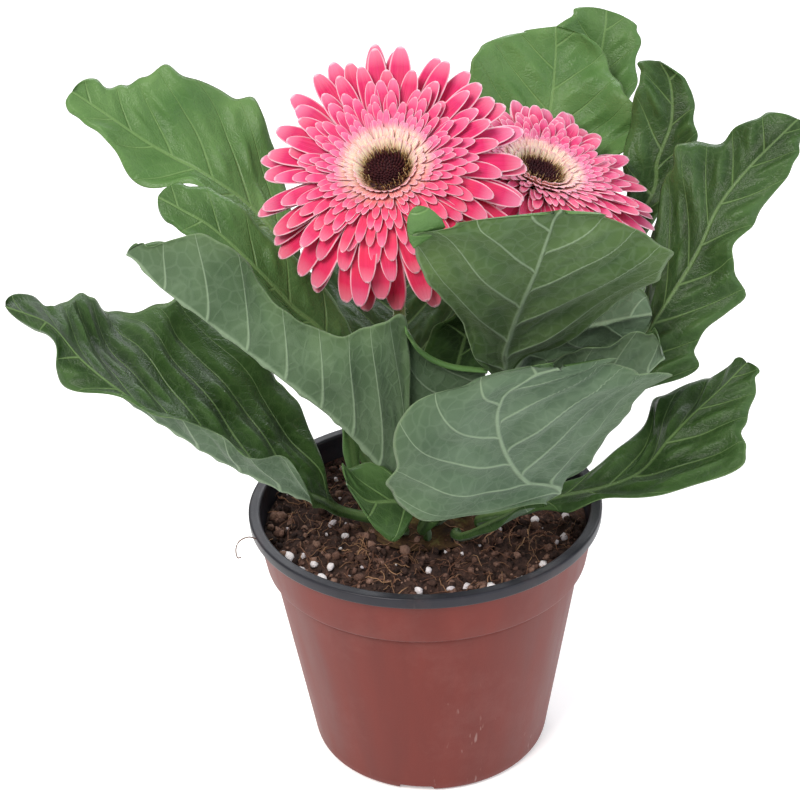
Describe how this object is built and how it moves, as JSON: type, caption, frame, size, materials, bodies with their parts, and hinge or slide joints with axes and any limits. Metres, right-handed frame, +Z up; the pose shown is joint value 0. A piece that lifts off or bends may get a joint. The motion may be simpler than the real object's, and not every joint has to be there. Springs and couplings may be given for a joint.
{
  "type": "potted gerbera",
  "caption": "Flowering gerbera in a tapered round nursery pot: broad lobed leaves rise in a loose rosette around large daisy-like flower heads on bare stems.",
  "frame": {"origin": "centre of the flat face under the pot that it rests on", "axes": "+Z up the pot's axis, -Y the front, +X to the right seen from the front"},
  "size_m": [0.2735, 0.2078, 0.2602],
  "materials": {
    "pot": "thin formed plastic, terracotta red outside, black lip and inside, slight sheen",
    "soil": "loose peat and coir with white perlite grains, matt",
    "crown": "woolly leaf bases, matt",
    "leaf": "green and softly glossy above, paler and matt below, with raised veins",
    "scape": "pale green, finely hairy",
    "bract": "green, matt",
    "ray_petal": "pink-red with a pale margin, satin",
    "floret_petal": "pink to cream with a pale margin, satin",
    "disc": "dark maroon, matt"
  },
  "bodies": {
    "root": {"pot": "pot", "soil": "soil", "crown": "crown", "leaf_front": "leaf", "leaf_centre": "leaf", "leaf_front_left": "leaf", "leaf_low_front": "leaf", "leaf_left_low": "leaf", "leaf_left_mid": "leaf", "leaf_back_left": "leaf", "leaf_back_low": "leaf", "leaf_back_right_low": "leaf", "leaf_back_centre": "leaf", "leaf_back_high": "leaf", "leaf_back_right": "leaf", "leaf_right": "leaf", "leaf_right_mid": "leaf", "leaf_right_low": "leaf", "leaf_inner_left": "leaf", "leaf_inner_right": "leaf", "front_flower_scape": "scape", "front_flower_bracts": "bract", "front_flower_back_rays": "ray_petal", "front_flower_front_rays": "ray_petal", "front_flower_outer_florets": "floret_petal", "front_flower_inner_florets": "floret_petal", "front_flower_disc": "disc", "rear_flower_scape": "scape", "rear_flower_bracts": "bract", "rear_flower_back_rays": "ray_petal", "rear_flower_front_rays": "ray_petal", "rear_flower_outer_florets": "floret_petal", "rear_flower_inner_florets": "floret_petal", "rear_flower_disc": "disc"}
  },
  "joints": []
}
